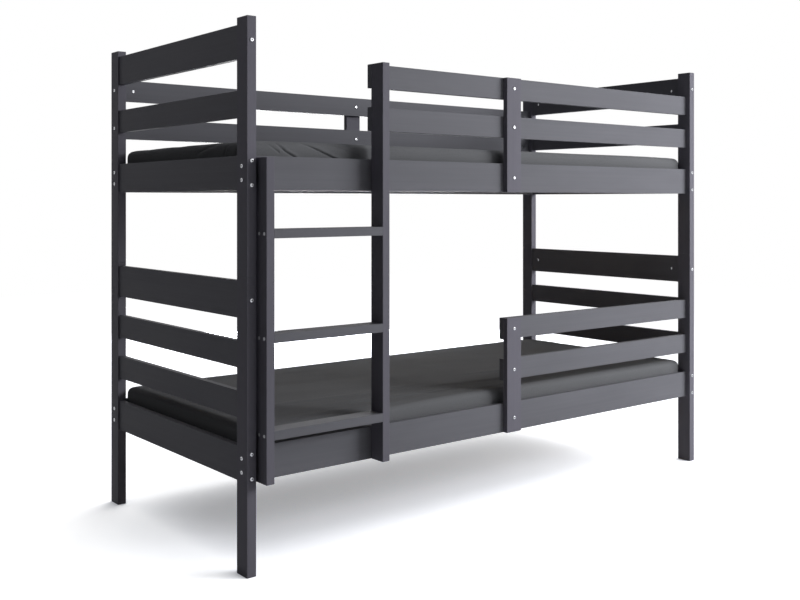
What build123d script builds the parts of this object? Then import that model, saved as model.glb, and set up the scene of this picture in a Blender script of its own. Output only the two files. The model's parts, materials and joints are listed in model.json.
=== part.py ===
from build123d import *
import os

# Bunk bed of painted pine: two single beds stacked on pins, with a fixed ladder at the front.
# Millimetres. +X runs along the bed to the end without the ladder, +Y to the back, +Z up.
# The origin is on the floor, in the middle of everything that the bed covers.

# Mattresses, which the beds are built around, and the room left for them inside the frame
mattress_length = 1916
mattress_width = 815
mattress_thick = 100
mattress_corner = 14
mattress_bow = 4
mattress_end_gap = 4
mattress_side_gap = 4

# Timber sections
post_thick = 28
post_depth = 55
board_thick = 18
rail_high = 94
edge_round = 1

# Lower bed, from the floor up
lower_rail_bottom = 249
lower_first_gap = 76
lower_slat_high = 73
lower_slat_gap = 62
lower_top_slat_high = 101
lower_post_rise = 10

# Upper bed, from its feet up
upper_rail_bottom = 233
upper_first_gap = 104
upper_slat_high = 73
upper_slat_gap = 85
upper_top_slat_high = 93
upper_post_rise = 18

# Guards, stacked above the long rails
guard_high = 70
upper_guard_first_gap = 84
upper_guard_gap = 56
lower_guard_first_gap = 75
lower_guard_gap = 64
support_wide = 64
front_support_offset = 9.5
back_support_offset = -3.5

# Ladder
ladder_thick = 25
stile_depth = 56
rung_depth = 55
ladder_clear_width = 365
ladder_post_gap = 9
left_stile_drop = 5
top_rung_drop = 197
middle_rung_drop = 280
bottom_rung_drop = 259.5

# Bed bases
ledger_high = 20
ledger_deep = 25
bed_slat_wide = 70
bed_slat_count = 13
bed_slat_margin = 24
bed_slat_side_gap = 3
tape_wide = 25
tape_thick = 1.2
tape_spread_share = 0.55

# Fitted sheets, and the gap that keeps them clear of the slats
sheet_thick = 0.8
sheet_gap = 0.2
sheet_hem = 70
bed_gap = 0.3

# Places through the mattress's thickness, as shares of it, and how far the outline draws in there
mattress_rise_shares = (0, 0.04, 0.14, 0.5, 0.8, 0.9, 0.95, 0.98, 0.993, 1)
mattress_draw_in_shares = (0.1, 0.02, 0, 0.02, 0, 0.027, 0.07, 0.13, 0.4, 1.4)

# Bolts and barrel nuts
bolt_diameter = 6
bolt_head_diameter = 11
bolt_head_high = 2.6
bolt_head_round = 1.8
bolt_socket_across = 5
bolt_socket_deep = 2.2
bolt_play = 0.25
bolt_past_nut = 8
nut_inset = 35
nut_diameter = 10
nut_long = 14
nut_play = 0.1
nut_thread_play = 0.05
nut_slot_wide = 1.5
nut_slot_deep = 1.5
end_bolt_share = 0.7
rail_bolt_share = 0.4
ladder_bolt_in_stile = 30

# Sleeve nuts of the guard supports
sleeve_diameter = 8.5
sleeve_long = 24
sleeve_flange_diameter = 13
sleeve_flange_thick = 1.6
sleeve_wall = 3

# Wood screws of the rungs
screw_diameter = 5
screw_head_diameter = 9.5
screw_long = 65
screw_tip_long = 8
screw_cross_wide = 1.2
screw_cross_deep = 1.5
screw_play = 0.05
screw_front_inset = 12
screw_pitch = 26

# Dowels and pins
dowel_diameter = 8
dowel_in_slat = 20
dowel_seat_share = 0.36
dowel_spread_share = 0.55
pin_diameter = 10
pin_long = 70
wood_play = 0.05

# One overrun serves every cut
overrun = 1

# Heights that follow from the stacks above
lower_rail_top = lower_rail_bottom + rail_high
lower_slat_low = lower_rail_top + lower_first_gap
lower_slat_mid = lower_slat_low + lower_slat_high + lower_slat_gap
lower_top_slat_bottom = lower_slat_mid + lower_slat_high + lower_slat_gap
lower_post_top = lower_top_slat_bottom + lower_top_slat_high + lower_post_rise

upper_rail_low = lower_post_top + upper_rail_bottom
upper_rail_top = upper_rail_low + rail_high
upper_slat_low = upper_rail_top + upper_first_gap
upper_top_slat_bottom = upper_slat_low + upper_slat_high + upper_slat_gap
upper_post_top = upper_top_slat_bottom + upper_top_slat_high + upper_post_rise

upper_guard_low = upper_rail_top + upper_guard_first_gap
upper_guard_mid = upper_guard_low + guard_high + upper_guard_gap
upper_guard_top = upper_guard_mid + guard_high
lower_guard_low = lower_rail_top + lower_guard_first_gap
lower_guard_mid = lower_guard_low + guard_high + lower_guard_gap
lower_guard_top = lower_guard_mid + guard_high

# Places in plan that follow from the sections above
rail_inset = (post_depth - board_thick) / 2
slat_inset = (post_thick - board_thick) / 2
rail_end = mattress_length / 2 + mattress_end_gap
rail_inner = mattress_width / 2 + mattress_side_gap
rail_outer = rail_inner + board_thick
half_length = rail_end + post_thick
half_width = rail_outer + rail_inset
ladder_reach = rail_outer + stile_depth
back_reach = half_width + bolt_head_high

# The ladder stands out at the front, so the beds' middle lies a little behind the origin
bed_middle = (ladder_reach - back_reach) / 2

LEFT, RIGHT = -1, 1
FRONT, BACK = -1, 1
END_NAMES = {LEFT: "left", RIGHT: "right"}
SIDE_NAMES = {FRONT: "front", BACK: "back"}

left_stile_x = (ladder_post_gap - rail_end, ladder_post_gap + ladder_thick - rail_end)
right_stile_x = (left_stile_x[1] + ladder_clear_width, left_stile_x[1] + ladder_clear_width + ladder_thick)

bores = []


def across(side, inner, outer):
    """The span in Y between two distances from the beds' middle, on one side."""
    return tuple(sorted((bed_middle + side * inner, bed_middle + side * outer)))


def along(end, inner, outer):
    """The span in X between two distances from the beds' middle, at one end."""
    return tuple(sorted((end * inner, end * outer)))


def middle(span):
    return (span[0] + span[1]) / 2


def bar(x, y, z, grain, rounded_ends=False):
    """A planed bar that fills three spans, with its edges along the grain rounded."""
    solid = Box(x[1] - x[0], y[1] - y[0], z[1] - z[0])
    solid = Pos(middle(x), middle(y), middle(z)) * solid
    edges = solid.edges() if rounded_ends else solid.edges().filter_by(grain)
    return fillet(edges, edge_round)


def stud(point, direction, diameter, long):
    """A cylinder from a point along a direction."""
    rod = Cylinder(diameter / 2, long, align=(Align.CENTER, Align.CENTER, Align.MIN))
    return Plane(origin=point, z_dir=direction).location * rod


def step(point, direction, distance):
    return Vector(*point) + Vector(*direction) * distance


def drill(point, direction, diameter, depth):
    """Note a bore from a surface into the wood, for every piece that it meets."""
    bore = stud(step(point, direction, -overrun), direction, diameter, depth + overrun)
    bores.append((bore, bore.bounding_box()))


def meets(box, other):
    return all((box.min.X < other.max.X, other.min.X < box.max.X,
                box.min.Y < other.max.Y, other.min.Y < box.max.Y,
                box.min.Z < other.max.Z, other.min.Z < box.max.Z))


def drilled(piece):
    box = piece.bounding_box()
    cuts = [bore for bore, bore_box in bores if meets(box, bore_box)]
    return piece - cuts if cuts else piece


def save(shape, node):
    export_step(shape, f"parts/{node}.step")


def save_group(solids, node):
    save(Compound(children=solids), node)


def make_bolt(shank_long):
    """A button-head bolt with a hexagon socket, head towards -Z, seated at z = 0."""
    head = Cylinder(bolt_head_diameter / 2, bolt_head_high, align=(Align.CENTER, Align.CENTER, Align.MAX))
    head = fillet(head.edges().sort_by(Axis.Z)[0], bolt_head_round)
    shank = Cylinder(bolt_diameter / 2, shank_long, align=(Align.CENTER, Align.CENTER, Align.MIN))
    socket = extrude(RegularPolygon(bolt_socket_across / 2, 6, major_radius=False), bolt_socket_deep)
    return head + shank - Pos(0, 0, -bolt_head_high) * socket


def make_barrel_nut():
    """A cross-bored barrel nut along Z, its slotted face towards -Z and its thread along X."""
    barrel = Cylinder(nut_diameter / 2, nut_long)
    thread = Rot(0, 90, 0) * Cylinder(bolt_diameter / 2 + nut_thread_play, nut_diameter + 2 * overrun)
    slot = Pos(0, 0, -nut_long / 2) * Box(nut_diameter + 2 * overrun, nut_slot_wide, 2 * nut_slot_deep)
    return barrel - thread - slot


def make_sleeve_nut():
    """A flanged sleeve nut, flange towards -Z and seated at z = 0, threaded from the far end."""
    flange = Cylinder(sleeve_flange_diameter / 2, sleeve_flange_thick,
                      align=(Align.CENTER, Align.CENTER, Align.MAX))
    flange = fillet(flange.edges().sort_by(Axis.Z)[0], sleeve_flange_thick / 2)
    sleeve = Cylinder(sleeve_diameter / 2, sleeve_long, align=(Align.CENTER, Align.CENTER, Align.MIN))
    thread = Cylinder(bolt_diameter / 2 + nut_thread_play, sleeve_long - sleeve_wall,
                      align=(Align.CENTER, Align.CENTER, Align.MIN))
    return flange + sleeve - Pos(0, 0, sleeve_wall) * thread


def make_screw():
    """A countersunk wood screw with a cross recess, its flat head at z = 0 and its tip along +Z."""
    seat_deep = (screw_head_diameter - screw_diameter) / 2
    head = Cone(screw_head_diameter / 2, screw_diameter / 2, seat_deep,
                align=(Align.CENTER, Align.CENTER, Align.MIN))
    straight_long = screw_long - screw_tip_long
    shank = Cylinder(screw_diameter / 2, straight_long, align=(Align.CENTER, Align.CENTER, Align.MIN))
    tip = Pos(0, 0, straight_long) * Cone(screw_diameter / 2, screw_cross_wide / 2, screw_tip_long,
                                          align=(Align.CENTER, Align.CENTER, Align.MIN))
    cross = Box(screw_diameter, screw_cross_wide, 2 * screw_cross_deep)
    cross = cross + Box(screw_cross_wide, screw_diameter, 2 * screw_cross_deep)
    return head + shank + tip - cross


end_bolts, rail_bolts, barrel_nuts = [], [], []
support_bolts, sleeve_nuts, ladder_bolts = [], [], []
rung_screws, dowels, pins = [], [], []

end_bolt_long = post_depth + nut_inset + bolt_past_nut
rail_bolt_long = post_thick + nut_inset + bolt_past_nut
ladder_bolt_long = board_thick + ladder_bolt_in_stile + bolt_past_nut
end_bolt = make_bolt(end_bolt_long)
rail_bolt = make_bolt(rail_bolt_long)
ladder_bolt = make_bolt(ladder_bolt_long)
support_bolt = make_bolt(2 * board_thick - sleeve_wall)
barrel_nut = make_barrel_nut()
sleeve_nut = make_sleeve_nut()
screw = make_screw()


def fit_bolt(bolts, bolt, point, direction, shank_long, nut_depth, nut_side, nut_board):
    """A bolt from a surface point, with the barrel nut that it pulls on, and their bores.

    nut_side is the direction from the face that the nut's pocket opens in towards the bolt,
    and nut_board the thickness of the board there.
    """
    bolts.append(Plane(origin=point, z_dir=direction).location * bolt)
    drill(point, direction, bolt_diameter + 2 * bolt_play, shank_long + overrun)
    centre = step(point, direction, nut_depth)
    barrel_nuts.append(Plane(origin=centre, x_dir=direction, z_dir=nut_side).location * barrel_nut)
    mouth = centre - Vector(*nut_side) * (nut_board / 2)
    drill(mouth, nut_side, nut_diameter + 2 * nut_play, (nut_board + nut_long) / 2)


def fit_dowel(point, direction, in_first, in_second):
    """A dowel across a joint face, from the first piece into the second."""
    start = step(point, direction, -in_first)
    dowels.append(stud(start, direction, dowel_diameter, in_first + in_second))
    bore = stud(start, direction, dowel_diameter + 2 * wood_play, in_first + in_second)
    bores.append((bore, bore.bounding_box()))


def fit_end_board(end, side, bolt_heights, dowel_heights):
    """The bolts and dowels between one post and one end of a head or foot board."""
    x = end * (half_length - post_thick / 2)
    inward = (0, -side, 0)
    for z in bolt_heights:
        face = (x, bed_middle + side * half_width, z)
        fit_bolt(end_bolts, end_bolt, face, inward, end_bolt_long, post_depth + nut_inset,
                 (end, 0, 0), board_thick)
    for z in dowel_heights:
        joint = (x, bed_middle + side * (half_width - post_depth), z)
        fit_dowel(joint, inward, dowel_seat_share * post_depth, dowel_in_slat)


def fit_long_board(end, side, bolt_heights):
    """The bolts between one post and one end of a long rail or a guard."""
    y = bed_middle + side * (rail_outer + rail_inner) / 2
    for z in bolt_heights:
        face = (end * half_length, y, z)
        fit_bolt(rail_bolts, rail_bolt, face, (-end, 0, 0), rail_bolt_long, post_thick + nut_inset,
                 (0, side, 0), board_thick)


def pair(centre, spread):
    return (centre - spread / 2, centre + spread / 2)


os.makedirs("parts", exist_ok=True)

# Head and foot boards: name, bottom, height, bolts per end, whether dowels steady it
end_boards = (
    ("lower_end_rail", lower_rail_bottom, rail_high, 2, False),
    ("lower_low_slat", lower_slat_low, lower_slat_high, 0, True),
    ("lower_middle_slat", lower_slat_mid, lower_slat_high, 0, True),
    ("lower_top_slat", lower_top_slat_bottom, lower_top_slat_high, 1, True),
    ("upper_end_rail", upper_rail_low, rail_high, 2, False),
    ("upper_middle_slat", upper_slat_low, upper_slat_high, 0, True),
    ("upper_top_slat", upper_top_slat_bottom, upper_top_slat_high, 1, True),
)

for end in (LEFT, RIGHT):
    for side in (FRONT, BACK):
        for name, bottom, high, bolt_count, has_dowels in end_boards:
            centre = bottom + high / 2
            bolt_heights = {0: (), 1: (centre,), 2: pair(centre, end_bolt_share * high)}[bolt_count]
            dowel_heights = pair(centre, dowel_spread_share * high) if has_dowels else ()
            fit_end_board(end, side, bolt_heights, dowel_heights)
        for bottom in (lower_rail_bottom, upper_rail_low):
            fit_long_board(end, side, pair(bottom + rail_high / 2, rail_bolt_share * rail_high))

# Guards run from post to post at the back, and to the post without the ladder at the front
for bottom in (upper_guard_low, upper_guard_mid):
    fit_long_board(LEFT, BACK, (bottom + guard_high / 2,))
    fit_long_board(RIGHT, BACK, (bottom + guard_high / 2,))
    fit_long_board(RIGHT, FRONT, (bottom + guard_high / 2,))
for bottom in (lower_guard_low, lower_guard_mid):
    fit_long_board(RIGHT, FRONT, (bottom + guard_high / 2,))


support_middle = {FRONT: front_support_offset, BACK: back_support_offset}


def fit_support(side, heads_outside, heights):
    """Bolts and sleeve nuts that clamp a support to the boards behind it."""
    for z in heights:
        outer = (support_middle[side], bed_middle + side * (rail_outer + board_thick), z)
        inner = (support_middle[side], bed_middle + side * rail_inner, z)
        inward, outward = (0, -side, 0), (0, side, 0)
        bolt_face, bolt_way = (outer, inward) if heads_outside else (inner, outward)
        nut_face, nut_way = (inner, outward) if heads_outside else (outer, inward)
        support_bolts.append(Plane(origin=bolt_face, z_dir=bolt_way).location * support_bolt)
        sleeve_nuts.append(Plane(origin=nut_face, z_dir=nut_way).location * sleeve_nut)
        drill(bolt_face, bolt_way, bolt_diameter + 2 * bolt_play, 2 * board_thick)
        drill(nut_face, nut_way, sleeve_diameter + 2 * nut_play, sleeve_long)


lower_rail_middle = lower_rail_bottom + rail_high / 2
upper_rail_middle = upper_rail_low + rail_high / 2
upper_support_heights = (upper_rail_middle, upper_guard_low + guard_high / 2,
                         upper_guard_mid + guard_high / 2)
lower_support_heights = (lower_rail_middle, lower_guard_low + guard_high / 2,
                         lower_guard_mid + guard_high / 2)
fit_support(FRONT, True, upper_support_heights)
fit_support(FRONT, True, lower_support_heights)
fit_support(BACK, False, upper_support_heights)

# The stiles are bolted from inside the rails, and the right one from inside the guards too
stile_bolts = (
    (left_stile_x, (lower_rail_middle, upper_rail_middle)),
    (right_stile_x, (lower_rail_middle,) + upper_support_heights),
)
for stile_x, heights in stile_bolts:
    for z in heights:
        face = (middle(stile_x), bed_middle - rail_inner, z)
        fit_bolt(ladder_bolts, ladder_bolt, face, (0, -1, 0), ladder_bolt_long,
                 board_thick + ladder_bolt_in_stile, (-1, 0, 0), ladder_thick)

# Rungs, each held by two screws through each stile
rung_tops = {"top": upper_rail_top - top_rung_drop}
rung_tops["middle"] = rung_tops["top"] - middle_rung_drop
rung_tops["bottom"] = rung_tops["middle"] - bottom_rung_drop
ladder_front = bed_middle - ladder_reach
for top in rung_tops.values():
    for inset in (screw_front_inset, screw_front_inset + screw_pitch):
        for x, way in ((left_stile_x[0], 1), (right_stile_x[1], -1)):
            face = (x, ladder_front + inset, top - ladder_thick / 2)
            place = Plane(origin=face, z_dir=(way, 0, 0)).location
            rung_screws.append(place * screw)
            drill(face, (way, 0, 0), screw_diameter + 2 * screw_play, screw_long + overrun)
            seat_deep = (screw_head_diameter - screw_diameter) / 2
            seat = Cone(screw_head_diameter / 2 + screw_play, screw_diameter / 2 + screw_play, seat_deep,
                        align=(Align.CENTER, Align.CENTER, Align.MIN))
            bores.append((place * seat, (place * seat).bounding_box()))

# Pins between the stacked posts
for end in (LEFT, RIGHT):
    for side in (FRONT, BACK):
        foot = (end * (half_length - post_thick / 2),
                bed_middle + side * (half_width - post_depth / 2), lower_post_top - pin_long / 2)
        pins.append(stud(foot, (0, 0, 1), pin_diameter, pin_long))
        bore = stud(foot, (0, 0, 1), pin_diameter + 2 * wood_play, pin_long)
        bores.append((bore, bore.bounding_box()))

# Posts
for end in (LEFT, RIGHT):
    for side in (FRONT, BACK):
        x = along(end, half_length - post_thick, half_length)
        y = across(side, half_width - post_depth, half_width)
        corner = f"{SIDE_NAMES[side]}_{END_NAMES[end]}"
        save(drilled(bar(x, y, (0, lower_post_top), Axis.Z, True)), f"lower_post_{corner}")
        save(drilled(bar(x, y, (lower_post_top, upper_post_top), Axis.Z, True)), f"upper_post_{corner}")

# Head and foot boards
for end in (LEFT, RIGHT):
    x = along(end, half_length - slat_inset - board_thick, half_length - slat_inset)
    y = (bed_middle - half_width + post_depth, bed_middle + half_width - post_depth)
    for name, bottom, high, _, _ in end_boards:
        save(drilled(bar(x, y, (bottom, bottom + high), Axis.Y)), f"{name}_{END_NAMES[end]}")

# Long rails with their ledgers
for side in (FRONT, BACK):
    for bed, bottom in (("lower", lower_rail_bottom), ("upper", upper_rail_low)):
        board = bar((-rail_end, rail_end), across(side, rail_inner, rail_outer),
                    (bottom, bottom + rail_high), Axis.X)
        save(drilled(board), f"{bed}_side_rail_{SIDE_NAMES[side]}")
        ledger = bar((-rail_end, rail_end), across(side, rail_inner - ledger_deep, rail_inner),
                     (bottom, bottom + ledger_high), Axis.X)
        save(drilled(ledger), f"{bed}_ledger_{SIDE_NAMES[side]}")

# Guards: name, side, start in X, bottom
support_start = support_middle[FRONT] - support_wide / 2
guards = (
    ("upper_guard_front_low", FRONT, right_stile_x[0], upper_guard_low),
    ("upper_guard_front_high", FRONT, right_stile_x[0], upper_guard_mid),
    ("upper_guard_back_low", BACK, -rail_end, upper_guard_low),
    ("upper_guard_back_high", BACK, -rail_end, upper_guard_mid),
    ("lower_guard_low", FRONT, support_start, lower_guard_low),
    ("lower_guard_high", FRONT, support_start, lower_guard_mid),
)
for name, side, start, bottom in guards:
    board = bar((start, rail_end), across(side, rail_inner, rail_outer),
                (bottom, bottom + guard_high), Axis.X)
    save(drilled(board), name)

supports = (
    ("upper_guard_support_front", FRONT, upper_rail_low, upper_guard_top),
    ("upper_guard_support_back", BACK, upper_rail_low, upper_guard_top),
    ("lower_guard_support", FRONT, lower_rail_bottom, lower_guard_top),
)
for name, side, bottom, top in supports:
    y = across(side, rail_outer, rail_outer + board_thick)
    x = (support_middle[side] - support_wide / 2, support_middle[side] + support_wide / 2)
    board = bar(x, y, (bottom, top), Axis.Z, True)
    save(drilled(board), name)

# Ladder
stile_y = across(FRONT, rail_outer, ladder_reach)
left_stile = bar(left_stile_x, stile_y, (lower_rail_bottom, upper_rail_top - left_stile_drop), Axis.Z, True)
right_stile = bar(right_stile_x, stile_y, (lower_rail_bottom, upper_guard_top), Axis.Z, True)
save(drilled(left_stile), "ladder_stile_left")
save(drilled(right_stile), "ladder_stile_right")
for name, top in rung_tops.items():
    rung = bar((left_stile_x[1], right_stile_x[0]), (ladder_front, ladder_front + rung_depth),
               (top - ladder_thick, top), Axis.X)
    save(drilled(rung), f"ladder_rung_{name}")

# Bed bases: loose slats on the ledgers, kept apart by two tapes under them
slat_run = 2 * (rail_end - bed_slat_margin) - bed_slat_wide
slat_pitch = slat_run / (bed_slat_count - 1)
slat_half_long = rail_inner - bed_slat_side_gap
tapes = []
for bed, bottom in (("lower", lower_rail_bottom), ("upper", upper_rail_low)):
    base = bottom + ledger_high
    slats = []
    for index in range(bed_slat_count):
        x = index * slat_pitch - slat_run / 2
        slats.append(bar(pair(x, bed_slat_wide), (bed_middle - slat_half_long, bed_middle + slat_half_long),
                         (base, base + board_thick), Axis.Y))
    save_group(slats, f"{bed}_bed_slats")
    for side in (FRONT, BACK):
        y = bed_middle + side * tape_spread_share * slat_half_long
        tape = Box(slat_run + bed_slat_wide, tape_wide, tape_thick,
                   align=(Align.CENTER, Align.CENTER, Align.MAX))
        tapes.append(Pos(0, y, base) * tape)
save_group(tapes, "bed_slat_tapes")


def outline(grow, draw_in, z):
    """The mattress's outline at one height: four sides that bow inwards and four round corners."""
    half_x = mattress_length / 2 + grow - draw_in
    half_y = mattress_width / 2 + grow - draw_in
    corner = mattress_corner + grow
    edges = []
    for turn in range(4):
        reach, width = (half_x, half_y) if turn % 2 == 0 else (half_y, half_x)
        side = ThreePointArc((reach, corner - width), (reach - mattress_bow, 0), (reach, width - corner))
        bend = RadiusArc((reach, width - corner), (reach - corner, width), -corner)
        edges += [Rot(0, 0, 90 * turn) * side, Rot(0, 0, 90 * turn) * bend]
    return Pos(0, bed_middle, z) * make_face(Wire(edges))


def mattress_form(bottom, grow):
    """A crowned block with drawn-in sides, grown all round by one distance."""
    rise = mattress_thick + 2 * grow
    faces = []
    for rise_share, draw_share in zip(mattress_rise_shares, mattress_draw_in_shares):
        faces.append(outline(grow, draw_share * mattress_thick, bottom - grow + rise_share * rise))
    return loft(faces, ruled=True)


def fitted_sheet(bottom):
    """The cloth over a mattress, turned in under it and open below."""
    outer = mattress_form(bottom, sheet_gap + sheet_thick)
    inner = mattress_form(bottom, sheet_gap)
    opening = Box(mattress_length - 2 * sheet_hem, mattress_width - 2 * sheet_hem, mattress_thick)
    return outer - inner - Pos(0, bed_middle, bottom - sheet_gap) * opening


for bed, bottom in (("lower", lower_rail_bottom), ("upper", upper_rail_low)):
    mattress_bottom = bottom + ledger_high + board_thick + bed_gap + sheet_thick + sheet_gap
    save(mattress_form(mattress_bottom, 0), f"{bed}_mattress")
    save(fitted_sheet(mattress_bottom), f"{bed}_fitted_sheet")

save_group(end_bolts, "end_board_bolts")
save_group(rail_bolts, "side_board_bolts")
save_group(barrel_nuts, "barrel_nuts")
save_group(support_bolts, "guard_support_bolts")
save_group(sleeve_nuts, "guard_sleeve_nuts")
save_group(ladder_bolts, "ladder_bolts")
save_group(rung_screws, "rung_screws")
save_group(dowels, "end_board_dowels")
save_group(pins, "post_pins")
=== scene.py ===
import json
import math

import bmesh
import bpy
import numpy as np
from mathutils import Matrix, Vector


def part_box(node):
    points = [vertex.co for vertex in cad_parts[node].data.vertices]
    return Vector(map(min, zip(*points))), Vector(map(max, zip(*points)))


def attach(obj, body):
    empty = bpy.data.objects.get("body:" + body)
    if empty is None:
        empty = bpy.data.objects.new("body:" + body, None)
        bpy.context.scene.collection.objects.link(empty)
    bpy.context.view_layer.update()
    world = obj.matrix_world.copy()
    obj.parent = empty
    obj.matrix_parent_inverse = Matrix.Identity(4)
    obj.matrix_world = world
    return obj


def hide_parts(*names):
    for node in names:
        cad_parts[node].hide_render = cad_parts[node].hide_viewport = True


bl_info = {
    "name": "Painted bunk bed",
    "version": (1, 0, 0),
    "blender": (4, 5, 0),
    "location": "3D View > Sidebar > Bunk bed",
    "description": "Finishes a painted pine bunk bed, makes its bedding and sets a plain studio",
    "category": "Object",
}

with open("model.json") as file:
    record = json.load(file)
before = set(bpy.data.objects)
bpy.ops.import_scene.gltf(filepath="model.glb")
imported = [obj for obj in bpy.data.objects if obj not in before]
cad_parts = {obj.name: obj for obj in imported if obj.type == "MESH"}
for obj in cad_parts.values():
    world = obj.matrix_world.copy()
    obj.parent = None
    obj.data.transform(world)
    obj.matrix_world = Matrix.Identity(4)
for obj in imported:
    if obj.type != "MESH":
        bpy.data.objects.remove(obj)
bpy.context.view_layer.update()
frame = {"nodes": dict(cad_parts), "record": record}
MM = 0.001


def linear(hex_colour):
    """An sRGB hex colour as linear red, green and blue."""
    channels = [int(hex_colour[place:place + 2], 16) / 255 for place in (1, 3, 5)]
    return tuple(c / 12.92 if c <= 0.04045 else ((c + 0.055) / 1.055) ** 2.4 for c in channels)


def box_of(node):
    low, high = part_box(node)
    return Vector(low), Vector(high)


class TimberSettings(bpy.types.PropertyGroup):
    paint: bpy.props.FloatVectorProperty(
        name="Paint", description="Colour of the satin paint on the frame",
        subtype="COLOR", size=3, min=0, max=1, default=linear("#65656C"))
    paint_roughness: bpy.props.FloatProperty(
        name="Paint roughness", description="0 is gloss, 1 is dead matt",
        subtype="FACTOR", min=0, max=1, default=0.46)
    growth_ring: bpy.props.FloatProperty(
        name="Growth ring", description="Spacing of the pine's growth rings across a board",
        subtype="DISTANCE", unit="LENGTH", default=3.5 * MM)
    ring_relief: bpy.props.FloatProperty(
        name="Ring relief", description="How far the rings stand up through the paint",
        subtype="DISTANCE", unit="LENGTH", default=0.12 * MM)
    bare_light: bpy.props.FloatVectorProperty(
        name="Bare pine, early wood", description="Light colour of the unpainted slats",
        subtype="COLOR", size=3, min=0, max=1, default=linear("#DAC7A6"))
    bare_dark: bpy.props.FloatVectorProperty(
        name="Bare pine, late wood", description="Dark colour of the unpainted slats",
        subtype="COLOR", size=3, min=0, max=1, default=linear("#C3A577"))


class HardwareSettings(bpy.types.PropertyGroup):
    zinc: bpy.props.FloatVectorProperty(
        name="Zinc plate", description="Colour of the plated bolts, nuts and screws",
        subtype="COLOR", size=3, min=0, max=1, default=linear("#B4B5B9"))
    steel: bpy.props.FloatVectorProperty(
        name="Plain steel", description="Colour of the pins between the posts",
        subtype="COLOR", size=3, min=0, max=1, default=linear("#A9AAAC"))


class BeddingSettings(bpy.types.PropertyGroup):
    jersey: bpy.props.FloatVectorProperty(
        name="Sheet", description="Colour of the cotton jersey of the fitted sheets",
        subtype="COLOR", size=3, min=0, max=1, default=linear("#5D5E61"))
    ticking: bpy.props.FloatVectorProperty(
        name="Ticking", description="Colour of the mattress's woven cover",
        subtype="COLOR", size=3, min=0, max=1, default=linear("#DCD8CE"))
    webbing: bpy.props.FloatVectorProperty(
        name="Tapes", description="Colour of the tapes under the slats",
        subtype="COLOR", size=3, min=0, max=1, default=linear("#CFCBC0"))
    edge_radius: bpy.props.FloatProperty(
        name="Edge radius", description="Roundness of the mattress's edges and corners",
        subtype="DISTANCE", unit="LENGTH", default=18 * MM)
    hem: bpy.props.FloatProperty(
        name="Hem", description="How far the sheet turns in under the mattress",
        subtype="DISTANCE", unit="LENGTH", default=70 * MM)
    cloth_thickness: bpy.props.FloatProperty(
        name="Cloth", description="Thickness of the sheet's cloth",
        subtype="DISTANCE", unit="LENGTH", default=0.8 * MM)
    slack: bpy.props.FloatProperty(
        name="Slack",
        description="How much larger than the mattress the sheet is cut where it is loose",
        subtype="FACTOR", min=0, max=0.1, default=0.03)


class StudioSettings(bpy.types.PropertyGroup):
    focal_length: bpy.props.FloatProperty(
        name="Lens", description="Focal length on a 36 mm wide sensor",
        subtype="DISTANCE_CAMERA", unit="CAMERA", default=45.76)
    shift_down: bpy.props.FloatProperty(
        name="Shift",
        description="Vertical shift that keeps upright edges parallel, as a share of the width",
        default=-0.1247)
    lamp_share: bpy.props.FloatProperty(
        name="Lamps", description="Brightness of all the lamps, as a share of the studio's own setting",
        subtype="FACTOR", min=0, max=4, default=1.0)
    surround: bpy.props.FloatProperty(
        name="Surround", description="Brightness of the studio's walls on matt surfaces",
        subtype="FACTOR", min=0, max=2, default=0.002)


# Soft lamps: name, place and aim in metres, width and height, and watts
LAMPS = (
    ("key", (2.2, -3.4, 1.9), (0.2, -0.3, 0.7), (1.3, 1.2), 102),
    ("key_low", (2.6, -2.2, 0.6), (0.2, -0.3, 0.7), (1.2, 1.0), 18),
    ("key_high", (3.0, -2.4, 2.8), (0.2, -0.3, 0.7), (1.4, 1.4), 68),
    ("front_fill", (0.3, -4.2, 1.8), (0.0, -0.3, 0.7), (2.0, 2.0), 20),
    ("left_fill", (-4.0, 0.5, 2.0), (-0.3, 0.0, 0.7), (2.0, 2.0), 2.5),
    ("left_high", (-2.6, -0.6, 3.4), (-0.9, 0.0, 0.0), (1.6, 1.6), 7),
    ("back_fill", (2.2, 3.7, 0.3), (0.0, 0.4, 0.7), (2.0, 0.5), 130),
    ("top", (1.2, 0.4, 3.7), (0.0, 0.0, 0.0), (2.2, 1.8), 45),
)
FLOOR_HALF = 8.0
# The floor's painted shadow, from ambient occlusion: how far off the bed still darkens it, how deep it
# is, how soon it is white
SHADOW_REACH = 1.6
SHADOW_DEPTH = 1.7
SHADOW_WHITE = 2.25
# Which way the occlusion for the painted shadow looks: up over the bed from the right
PAINTED_SHADOW_TILT = {"X": 0.55, "Y": -0.1, "Z": 0.83}
# The camera's place from the middle of the bed's plan, and its heading, fitted to the photograph
CAMERA_FROM_BED = Vector((-2.3613, -2.8131, 1.0070))
CAMERA_HEADING = math.radians(51.345)


def add_node(tree, kind, settings=None, inputs=None):
    """Adds a shader node, sets its properties, and links or sets its inputs by name or number."""
    node = tree.nodes.new(kind)
    for name, value in (settings or {}).items():
        setattr(node, name, value)
    for name, value in (inputs or {}).items():
        if isinstance(value, bpy.types.NodeSocket):
            tree.links.new(value, node.inputs[name])
        else:
            node.inputs[name].default_value = value
    return node


def start_material(name):
    material = bpy.data.materials.new(name)
    material.use_nodes = True
    material.node_tree.nodes.clear()
    return material, material.node_tree


def finish_material(tree, shader):
    add_node(tree, "ShaderNodeOutputMaterial", inputs={"Surface": shader})


def rgba(colour, factor=1.0):
    return tuple(min(1.0, c * factor) for c in colour) + (1.0,)


def rays_that_show(tree):
    """1 on rays that show a surface as it is: to the camera, in reflections and through glass."""
    path = add_node(tree, "ShaderNodeLightPath")
    seen = path.outputs["Is Camera Ray"]
    for kind in ("Is Glossy Ray", "Is Transmission Ray"):
        seen = add_node(tree, "ShaderNodeMath", {"operation": "MAXIMUM"},
                        {0: seen, 1: path.outputs[kind]}).outputs[0]
    return seen


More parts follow.
